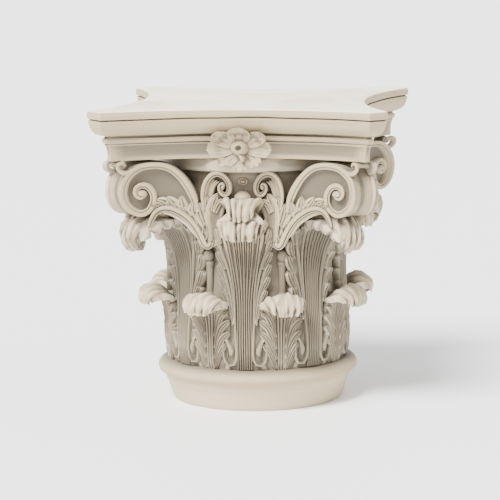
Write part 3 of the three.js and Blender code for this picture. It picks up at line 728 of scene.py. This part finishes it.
def corner_roll():
    def rule(u, v):
        along = -ROLL_HALF + 2 * ROLL_HALF * u
        radius = ROLL_RADIUS * np.sqrt(np.clip(1 - np.abs(2 * u - 1) ** 8, 0.001, 1))
        turn = v / ROLL_SIDES * 2 * math.pi
        reach = ROLL_REACH + radius * np.cos(turn) * 1.5
        height = ROLL_Z + radius * np.sin(turn) - 3 * (2 * u - 1) ** 2
        x = reach * math.sin(math.pi / 4) + along * math.cos(math.pi / 4)
        y = -reach * math.cos(math.pi / 4) + along * math.sin(math.pi / 4)
        return np.stack([x, y, height], 1)
    return skin(10, ROLL_SIDES, rule)


roll_form = corner_roll()
tell("a corner roll", [roll_form])

# %% [markdown]
# ## Foot and bell
# The round mouldings are plain, so each profile is swept once around the axis. A spin or a screw modifier
# would do the same, but the rule can also let the foot's edges waver a little, as a cast's do.

# %% Foot and bell
FOOT = [(0, 0), (111.5, 0), (112.6, 0.8), (115, 5), (117.5, 12), (119.4, 18), (120.3, 21.5), (120.9, 23.4),
        (121.7, 24.8), (122.6, 26.2), (123.3, 28), (124.2, 30.5), (125.2, 33), (125.9, 34.6), (126.9, 35.4),
        (128.7, 36.2), (131.5, 38.4), (133.4, 41), (134, 44), (133.3, 47.6), (131.2, 50.6), (127.5, 53.2),
        (122, 55), (114, 55.8), (100, 56), (0, 56)]
BELL = [(0, 48), (114, 48), (116.5, 60), (116.5, 90), (115.5, 118), (113.5, 140), (110.5, 165), (109, 195),
        (109.5, 225), (111, 255), (114, 285), (116, 300), (117.5, 310), (118, 315.6), (127, 316.6),
        (129.6, 318.6), (130.2, 325), (129.4, 331), (127.5, 335), (126, 346), (0, 346)]
FOOT_SEGMENTS, BELL_SEGMENTS, FOOT_WAVER = 96, 56, 0.4


def turned(profile, segments, steps, bulge=0.0):
    outline = np.array(profile, float)

    def rule(u, v):
        index = u * (len(outline) - 1)
        radius = np.interp(index, np.arange(len(outline)), outline[:, 0])
        height = np.interp(index, np.arange(len(outline)), outline[:, 1])
        turn = v / segments * 2 * math.pi
        wave = np.sin(turn * 3 + 0.6) * 0.6 + np.sin(turn * 7 + height * 0.05) * 0.4
        raised = height + bulge * wave * (radius > 50)
        places = [radius * np.cos(turn), radius * np.sin(turn), np.where(height > 4, raised, height)]
        return np.stack(places, 1)
    return skin(steps, segments, rule)


foot_form = turned(FOOT, FOOT_SEGMENTS, len(FOOT) - 1, FOOT_WAVER)
bell_form = turned(BELL, BELL_SEGMENTS, len(BELL) - 1)
tell("foot and bell", [foot_form, bell_form])

# %% [markdown]
# ## The plan of the abacus
# The slab has four hollow sides between cut horns. It could be cut from a block with four cylinders, but
# then every moulding would need its own cut. So one plan is worked out for any inset from the slab's edge.

# %% Plan of the abacus
HORN_WIDTH = 30.0
NARROWEST_HORN = 6
FLARE_FROM, FLARE = 14, 0.62
HORN_TRIM = 1.6


def abacus_plan(inset, arc_steps):
    shoulder = HORN_REACH - HORN_WIDTH / math.sqrt(2)
    arc_radius = (shoulder ** 2 + SIDE_HOLLOW ** 2) / (2 * SIDE_HOLLOW)
    centre = HORN_REACH - SIDE_HOLLOW + arc_radius
    radius = arc_radius + inset
    horn_sum = HORN_REACH + shoulder - inset * math.sqrt(2)
    half = math.asin(shoulder / arc_radius)
    for _ in range(20):
        half = math.asin(min(max((horn_sum - centre + radius * math.cos(half)) / radius, 0), 0.9))
    # deep under the slab the sides flare out to the horn, and their arcs stop short of each other there
    flare = FLARE * max(0, inset - FLARE_FROM)
    meeting = (centre - NARROWEST_HORN / math.sqrt(2)) / ((radius - flare) * math.sqrt(2))
    if flare:
        half = min(half, math.asin(min(meeting, 1)) - math.pi / 4)
    trim = HORN_TRIM / radius * 1.4
    turn = np.concatenate([[-half], np.linspace(-half + trim, half - trim, arc_steps), [half]])
    away = radius - flare * (turn / half) ** 2
    arc = np.stack([away * np.sin(turn), -centre + away * np.cos(turn)], 1)
    arc[0] += (0.7, 0.45)
    arc[-1] += (-0.7, 0.45)
    arc = np.concatenate([[arc[0] + np.array([-1.1, 1.1])], arc, [arc[-1] + np.array([1.1, 1.1])]])
    plan = []
    for side in range(4):
        spin = side * math.pi / 2
        plan.append(arc @ np.array([[math.cos(spin), math.sin(spin)], [-math.sin(spin), math.cos(spin)]]))
    return np.concatenate(plan)


print("points in the slab's plan:", len(abacus_plan(0, 20)))

# %% [markdown]
# ## The mouldings of the abacus
# From below, the abacus has a cavetto, an astragal, an ovolo and the slab's edge. Each level of its profile
# is an inset, a height and a scale, and the scale closes the bottom and the top. The levels waver a little
# in height, since no moulding on the cast is dead straight.

# %% Abacus
ABACUS_LEVELS = [
    (25, 335, 0), (25, 335, 0.75), (25, 335, 1), (24.6, 336, 1), (24.8, 342, 1), (24, 349, 1), (22, 354, 1),
    (19.8, 356, 1), (21, 357.6, 1), (17.4, 358.6, 1), (15.6, 361.6, 1), (16.4, 364.4, 1), (20.5, 366, 1),
    (20, 367.6, 1), (13.8, 368.4, 1), (8, 371, 1), (4.4, 375, 1), (2.4, 380, 1), (1.4, 385, 1),
    (1.0, 387.8, 1), (3.6, 389.2, 1), (0.3, 390.6, 1), (0, 392.5, 1), (0, 396.5, 1), (0.8, 399, 1),
    (2.4, 400, 1), (6, 400, 1), (6, 400, 0.6), (6, 400, 0),
]
WAVER_FROM, WAVER_TO = 357, 391.5


def abacus():
    plans = np.array([abacus_plan(inset, 20) * scale for inset, _, scale in ABACUS_LEVELS])
    count = plans.shape[1]

    def rule(u, v):
        level = np.round(u * (len(ABACUS_LEVELS) - 1)).astype(int)
        spots = plans[level, v % count]
        heights = np.array([height for _, height, _ in ABACUS_LEVELS])[level]
        turn = np.arctan2(spots[:, 1], spots[:, 0])
        wave = 0.45 * np.sin(4 * turn + 0.8) + 0.3 * np.sin(12 * turn)
        heights = heights + wave * ((heights > WAVER_FROM) & (heights < WAVER_TO))
        return np.stack([spots[:, 0], spots[:, 1], heights], 1)
    return skin(len(ABACUS_LEVELS) - 1, count, rule)


abacus_form = abacus()
tell("the abacus", [abacus_form])

# %% [markdown]
# ## One quarter
# The four quarters of the capital are alike, so one quarter is gathered as a mesh and turned later. A full
# face could be the unit as well, but its corners would then be made twice. The second volute of this
# quarter's corner lies on the next face, so the quarter turns complete each corner.

# %% Gather one quarter
def gather(forms, name):
    total = bmesh.new()
    for form in forms:
        temp = bpy.data.meshes.new("form")
        form.to_mesh(temp)
        form.free()
        total.from_mesh(temp)
        bpy.data.meshes.remove(temp)
    mesh = bpy.data.meshes.new(name)
    total.to_mesh(mesh)
    total.free()
    return mesh


def triangles(mesh):
    return sum(len(face.vertices) - 2 for face in mesh.polygons)


quarter = face_forms + corner_forms + lower_forms
quarter += [block_form, roll_form] + rosette_forms + bud_forms
for side in (-1, 1):
    quarter += stem_forms[side] + calyx_forms[side] + helix_forms[side] + volute_forms[side]
quarter_mesh = gather(quarter, "quarter")
print("quarter:", triangles(quarter_mesh), "triangles")

# %% [markdown]
# ## The whole casting
# Four turned copies of the quarter and the mouldings make one mesh, because the real piece is one casting.
# Faces that meet at less than 48 degrees shade as one surface, and sharper arrises stay crisp.

# %% The whole casting
CRISP_FROM = math.radians(48)

casting = bmesh.new()
for side in range(4):
    turned_mesh = quarter_mesh.copy()
    turned_mesh.transform(Matrix.Rotation(side * math.pi / 2, 4, "Z"))
    casting.from_mesh(turned_mesh)
    bpy.data.meshes.remove(turned_mesh)
casting.from_mesh(gather([foot_form, bell_form, abacus_form], "mouldings"))
bmesh.ops.scale(casting, vec=(MM, MM, MM), verts=casting.verts)
tree = BVHTree.FromBMesh(casting)
casting.normal_update()
mesh = bpy.data.meshes.new("capital_carving")
casting.to_mesh(mesh)
normals = [vert.normal.copy() for vert in casting.verts]
places = [vert.co.copy() for vert in casting.verts]
casting.free()
mesh.shade_smooth()
mesh.set_sharp_from_angle(angle=CRISP_FROM)
piece = bpy.data.objects.new("capital_carving", mesh)
bpy.context.scene.collection.objects.link(piece)
print("casting:", triangles(mesh), "triangles")

# %% [markdown]
# ## How sheltered a point is
# An antique wash is brushed on and wiped off, so it stays where a cloth can't reach, and the darkening drawn
# from that also stands in for shade, as painted shade. Painting that by hand would not survive a change of
# shape. So rays from each point measure how much is closed off around it.

# %% Shelter of a point
RAYS, NEAR, FAR = 28, 0.009, 0.1
START_OFF = 0.0003
golden = math.pi * (3 - math.sqrt(5))
fan = []
for i in range(RAYS):
    up = math.sqrt(1 - (i + 0.5) / RAYS)
    out = math.sqrt(1 - up * up)
    fan.append(Vector((out * math.cos(i * golden), out * math.sin(i * golden), up)))


def shelter(place, normal):
    """How much of the sky over a point is closed off, from 0 to 1: close by, and further away."""
    turn = Vector((0, 0, 1)).rotation_difference(normal)
    start = place + normal * START_OFF
    near = far = 0.0
    for ray in fan:
        distance = tree.ray_cast(start, turn @ ray, FAR)[3]
        if distance is not None:
            near += max(0.0, 1 - distance / NEAR) ** 0.5
            far += (1 - distance / FAR) ** 0.5
    return near / RAYS, far / RAYS


print("rays from each point:", len(fan))

# %% [markdown]
# ## What lies behind
# Whatever is set back is also painted darker, as wash and painted shade: the bell between the leaves, the
# stems, and the fields of the volutes. That follows from how far in a point lies, behind the leaves below or
# the sheet above.

# %% Set-back fields
LOW_IN, LOW_OUT = 119, 141
FOOT_TOP, SLAB_FROM, UPPER_FROM = 48, 334, 215
CORNER_FROM = 198


def set_back(spots):
    """1 where carving lies behind its neighbours: on the bell, the stems and the fields of the volutes."""
    x, y, z = spots.T / MM
    low = 1 - smoothstep(LOW_IN, LOW_OUT, np.hypot(x, y))
    lifts = [-y - SHEET_DISTANCE - SHEET_BOW * (x / SHEET_HALF) ** 2,
             x - SHEET_DISTANCE - SHEET_BOW * (y / SHEET_HALF) ** 2]
    behind = (1 - smoothstep(-3.5, 0.5, np.maximum(*lifts)))
    # the hollow rim between the two volutes of a corner gets a weaker share, as painted shade
    behind = behind * np.where(np.hypot(x, y) < CORNER_FROM, 1, 0.4)
    # this share paints set-back carving darker, as wash and painted shade
    share = np.where(z > UPPER_FROM, 0.3 * low + 1.5 * behind, low)
    return share * ((z > FOOT_TOP) & (z < SLAB_FROM))


quarter_count = len(quarter_mesh.vertices)
spots, outwards = np.array(places), np.array(normals)
one_quarter = [shelter(places[i], normals[i]) for i in range(quarter_count)]
mouldings_part = [shelter(places[i], normals[i]) for i in range(4 * quarter_count, len(places))]
near, far = np.array(one_quarter * 4 + mouldings_part).T
quarter_back = np.tile(set_back(spots[:quarter_count]), 4)
recess = np.concatenate([quarter_back, set_back(spots[4 * quarter_count:])])
# the torus gets a little more of the darkening, as painted shade, and the mouldings of the abacus get far
# less of the wash and painted shade
heights = spots[4 * quarter_count:, 2] / MM
torus = smoothstep(35, 38, heights) * (heights < FOOT_TOP)
recess[4 * quarter_count:] += 0.3 * torus - 1.4 * (heights > SLAB_FROM)
print("points:", len(places), "of which a quarter has", quarter_count)

# %% [markdown]
# ## Crests
# A rib's crest is worn bright. There a point stands out from the middle of its neighbours, which the mesh
# itself can tell, so no crest has to be marked by hand. The open ends of the shells stand out too, but they
# are no crests.

# %% Crests and attributes
END_OF_SHELL, END_CREST = 2.8, 0.3

ends = np.empty(len(mesh.edges) * 2, int)
mesh.edges.foreach_get("vertices", ends)
first, second = ends[::2], ends[1::2]
total, links_at = np.zeros_like(spots), np.zeros(len(spots))
for a, b in ((first, second), (second, first)):
    np.add.at(total, a, spots[b])
    np.add.at(links_at, a, 1)
middles = total / np.maximum(links_at, 1)[:, None]
crest = np.einsum("ij,ij->i", outwards, spots - middles) / MM
crest[crest > END_OF_SHELL] = END_CREST
# the second attribute holds the wash together with painted shade, for set-back parts and whatever lies under
# other parts
for name, values in (("near", near), ("wash_and_shade", 0.5 * far + 0.5 * recess), ("crest", crest)):
    mesh.attributes.new(name, "FLOAT", "POINT").data.foreach_set("value", values)
    print(name, "spreads over", np.percentile(values, (5, 25, 50, 75, 95)).round(3))

# %% [markdown]
# ## Small helpers for the material
# The stone is one material in which colours are laid over one another by shares. A painted picture could
# carry them too, but it would be one more file. So six helpers read an attribute, part a vector, make
# noise, add, ramp and blend.

# %% Material helpers
stone = bpy.data.materials.new("cast_stone")
stone.use_nodes = True
nodes, links = stone.node_tree.nodes, stone.node_tree.links
shader = nodes["Principled BSDF"]
shader.inputs["Roughness"].default_value = 0.62
shader.inputs["Specular IOR Level"].default_value = 0.35
coords = nodes.new("ShaderNodeTexCoord")


def attribute(name):
    node = nodes.new("ShaderNodeAttribute")
    node.attribute_name = name
    return node.outputs["Fac"]


def noise(scale, detail, roughness=0.6):
    node = nodes.new("ShaderNodeTexNoise")
    node.inputs["Scale"].default_value = scale
    node.inputs["Detail"].default_value = detail
    node.inputs["Roughness"].default_value = roughness
    links.new(coords.outputs["Object"], node.inputs["Vector"])
    return node.outputs["Fac"]


def sum_of(value, other, factor):
    """value + other * factor"""
    node = nodes.new("ShaderNodeMath")
    node.operation = "MULTIPLY_ADD"
    links.new(other, node.inputs[0])
    node.inputs[1].default_value = factor
    links.new(value, node.inputs[2])
    return node.outputs[0]


def ramp(value, low, high, most=1.0):
    node = nodes.new("ShaderNodeMapRange")
    node.interpolation_type = "SMOOTHSTEP"
    node.inputs["From Min"].default_value = low
    node.inputs["From Max"].default_value = high
    node.inputs["To Max"].default_value = most
    links.new(value, node.inputs["Value"])
    return node.outputs["Result"]


def blend(share, under, over):
    node = nodes.new("ShaderNodeMix")
    node.data_type = "RGBA"
    links.new(share, node.inputs["Factor"])
    for name, colour in (("A", under), ("B", over)):
        if isinstance(colour, tuple):
            node.inputs[name].default_value = (*colour, 1)
        else:
            links.new(colour, node.inputs[name])
    return node.outputs["Result"]


def parts_of(output):
    node = nodes.new("ShaderNodeSeparateXYZ")
    links.new(coords.outputs[output], node.inputs[0])
    return node.outputs


print("the stone starts with", len(nodes), "nodes")

# %% [markdown]
# ## Cast stone with an antique wash
# The cast is a warm tan, paler on its plain foot band, painted palest on the slab's top as painted light from
# above, and darker where it faces up. The wash, together with painted shade, darkens the set-back fields and
# the grooves, and the wash is worn off the crests. A fine bump gives the grain of the stone powder.

# %% Material layers
FOOT_TAN, TAN, TAN_FACING_UP = (0.50, 0.41, 0.27), (0.41, 0.325, 0.2), (0.33, 0.262, 0.163)
# the slab's top is painted pale, as painted light from above, with darker streaks in it
TOP_PAINTED_LIGHT, TOP_STREAK = (0.88, 0.805, 0.65), (0.66, 0.58, 0.43)
# these three wash colours also stand in for shade, as painted shade
WASH_AND_SHADE_TONE, LINE_WASH_AND_SHADE, GROOVE_WASH_AND_SHADE = (0.175, 0.143, 0.10), (0.10, 0.08, 0.055), (0.12, 0.097, 0.066)
WORN = (0.64, 0.56, 0.42)

patches = noise(38, 6)
height = parts_of("Object")["Z"]
band = blend(ramp(height, 0.031, 0.038), FOOT_TAN, TAN)
front = blend(ramp(parts_of("Normal")["Z"], 0.15, 0.85), band, TAN_FACING_UP)
# painted light on the slab's top, streaked with a darker tan
slab_top_painted_light = blend(ramp(noise(7, 5, 0.7), 0.42, 0.66, 0.8), TOP_PAINTED_LIGHT, TOP_STREAK)
clean = blend(ramp(height, 0.3985, 0.3998), front, slab_top_painted_light)
# wash and painted shade over set-back parts and under other parts
with_wash_and_shade = blend(ramp(sum_of(attribute("wash_and_shade"), patches, 0.16), 0.18, 0.76, 0.96), clean, WASH_AND_SHADE_TONE)
# wash and painted shade in the fine grooves, close by
lined = blend(ramp(sum_of(attribute("near"), patches, 0.2), 0.28, 0.75, 0.8), with_wash_and_shade, LINE_WASH_AND_SHADE)
# wash and painted shade where a point sinks below its neighbours
grooved = blend(ramp(attribute("crest"), -0.02, -0.5, 0.85), lined, GROOVE_WASH_AND_SHADE)
worn = blend(ramp(attribute("crest"), 0.3, 1.7, 0.6), grooved, WORN)
links.new(worn, shader.inputs["Base Color"])
bump = nodes.new("ShaderNodeBump")
bump.inputs["Strength"].default_value = 0.25
bump.inputs["Distance"].default_value = 0.001
links.new(sum_of(noise(420, 5), noise(90, 3), 1.5), bump.inputs["Height"])
links.new(bump.outputs["Normal"], shader.inputs["Normal"])
mesh.materials.append(stone)
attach(piece, "root")
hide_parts("capital")
print("the stone has", len(nodes), "nodes")

# %% [markdown]
# ## Floor and light
# The capital is photographed on white, lit softly from the upper left. A large pale floor and a white world
# give the white ground, and one broad sun gives the soft shadows. An area lamp would do too, but it would
# fade over the height of the piece.

# %% Floor and light
FLOOR_SIZE = 44
bpy.ops.mesh.primitive_plane_add(size=FLOOR_SIZE, location=(0, 0, 0))
floor = bpy.context.object
floor_material = bpy.data.materials.new("floor")
floor_material.use_nodes = True
floor_shader = floor_material.node_tree.nodes["Principled BSDF"]
floor_shader.inputs["Base Color"].default_value = (0.95, 0.95, 0.95, 1)
floor.data.materials.append(floor_material)

world = bpy.data.worlds.new("studio")
world.use_nodes = True
background = world.node_tree.nodes["Background"]
background.inputs["Color"].default_value = (1, 1, 1, 1)
background.inputs["Strength"].default_value = 1.4
bpy.context.scene.world = world

MIDDLE = Vector((0, 0, 0.2))
lamp = bpy.data.lights.new("key", "SUN")
lamp.energy = 10.5
lamp.angle = math.radians(25)
key = bpy.data.objects.new("key", lamp)
key.location = (-0.9, -1.7, 2.5)
key.rotation_euler = (MIDDLE - key.location).to_track_quat("-Z", "Y").to_euler()
bpy.context.scene.collection.objects.link(key)
print("sun energy", lamp.energy, "and sun angle", round(math.degrees(lamp.angle)), "degrees")

# %% [markdown]
# ## Camera
# The view is fitted to the photograph, by the horns of the slab, the foot and the torus. It is a long lens a
# little above the middle and a little to the right, with a slight roll.

# %% Camera
LENS, SENSOR = 174.2, 36
AZIMUTH, ELEVATION, ROLL = math.radians(7.9), math.radians(8.743), math.radians(-0.723)
DISTANCE = 3.2489
PHOTO_WIDTH = 500

view = bpy.data.cameras.new("photo_view")
view.lens = LENS
view.sensor_width = SENSOR
view.shift_x = -6.33 / PHOTO_WIDTH
view.shift_y = -2.77 / PHOTO_WIDTH
view.clip_end = 50
camera = bpy.data.objects.new("photo_view", view)
sight = Vector((math.cos(ELEVATION) * math.sin(AZIMUTH), -math.cos(ELEVATION) * math.cos(AZIMUTH),
                math.sin(ELEVATION)))
camera.location = MIDDLE + DISTANCE * sight
facing = (MIDDLE - camera.location).to_track_quat("-Z", "Y").to_matrix().to_4x4()
camera.rotation_euler = (facing @ Matrix.Rotation(ROLL, 4, "Z")).to_euler()
bpy.context.scene.collection.objects.link(camera)
bpy.context.scene.camera = camera
bpy.context.view_layer.update()
print("the camera stands at", [round(value, 3) for value in camera.location])
